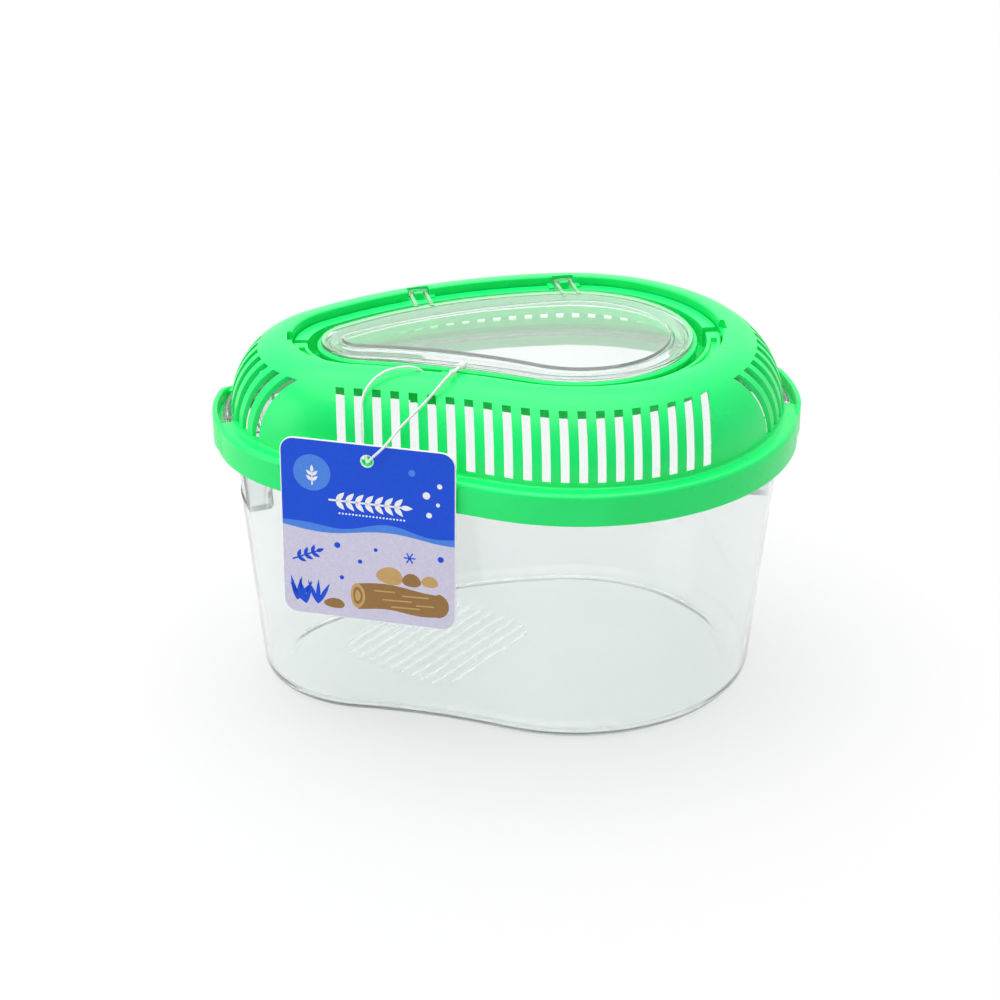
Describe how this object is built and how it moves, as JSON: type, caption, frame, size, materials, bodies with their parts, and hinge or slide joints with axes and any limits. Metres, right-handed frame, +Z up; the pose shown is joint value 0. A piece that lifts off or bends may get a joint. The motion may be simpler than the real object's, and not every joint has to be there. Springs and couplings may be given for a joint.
{
  "type": "pet keeper",
  "caption": "Bean-shaped clear plastic tank with a slotted domed lid, folding carry strap, hinged clear hatch and a hang tag on a loop",
  "frame": {"origin": "centre of the object's box on the table, under the middle of the long axis", "axes": "+Z up, +X along the long axis towards the big end, the hollow front faces -Y"},
  "size_m": [0.21, 0.1599, 0.1332],
  "materials": {
    "clear_styrene": "clear gloss",
    "green_plastic": "gloss",
    "green_strap": "gloss",
    "clear_hatch": "clear gloss",
    "card": "coated card",
    "nylon": "natural nylon"
  },
  "bodies": {
    "tank": {"tank": "clear_styrene"},
    "lid": {"lid": "green_plastic"},
    "handle": {"handle": "green_strap"},
    "hatch": {"hatch": "clear_hatch"},
    "tag": {"hang_tag": "card", "tag_loop": "nylon", "loop_lock": "nylon"}
  },
  "joints": [
    {"name": "lid_lift", "type": "slide", "parent": "tank", "child": "lid", "axis": [0, 0, 1], "range_m": [0, 0.06]},
    {"name": "handle_fold", "type": "hinge", "parent": "lid", "child": "handle", "pos_m": [0, 0, 0.1249], "axis": [-1, 0, 0], "range_deg": [0, 90]},
    {"name": "hatch_open", "type": "hinge", "parent": "lid", "child": "hatch", "pos_m": [-0.00275, 0.04775, 0.128], "axis": [-0.9907, -0.1357, 0], "range_deg": [0, 105]},
    {"name": "tag_swing", "type": "hinge", "parent": "handle", "child": "tag", "pos_m": [-0.025, -0.032, 0.1249], "axis": [-1, 0, 0], "range_deg": [-63, 0]}
  ],
  "couplings": [
    {"joint": "tag_swing", "follows": "handle_fold", "ratio": -0.7}
  ]
}
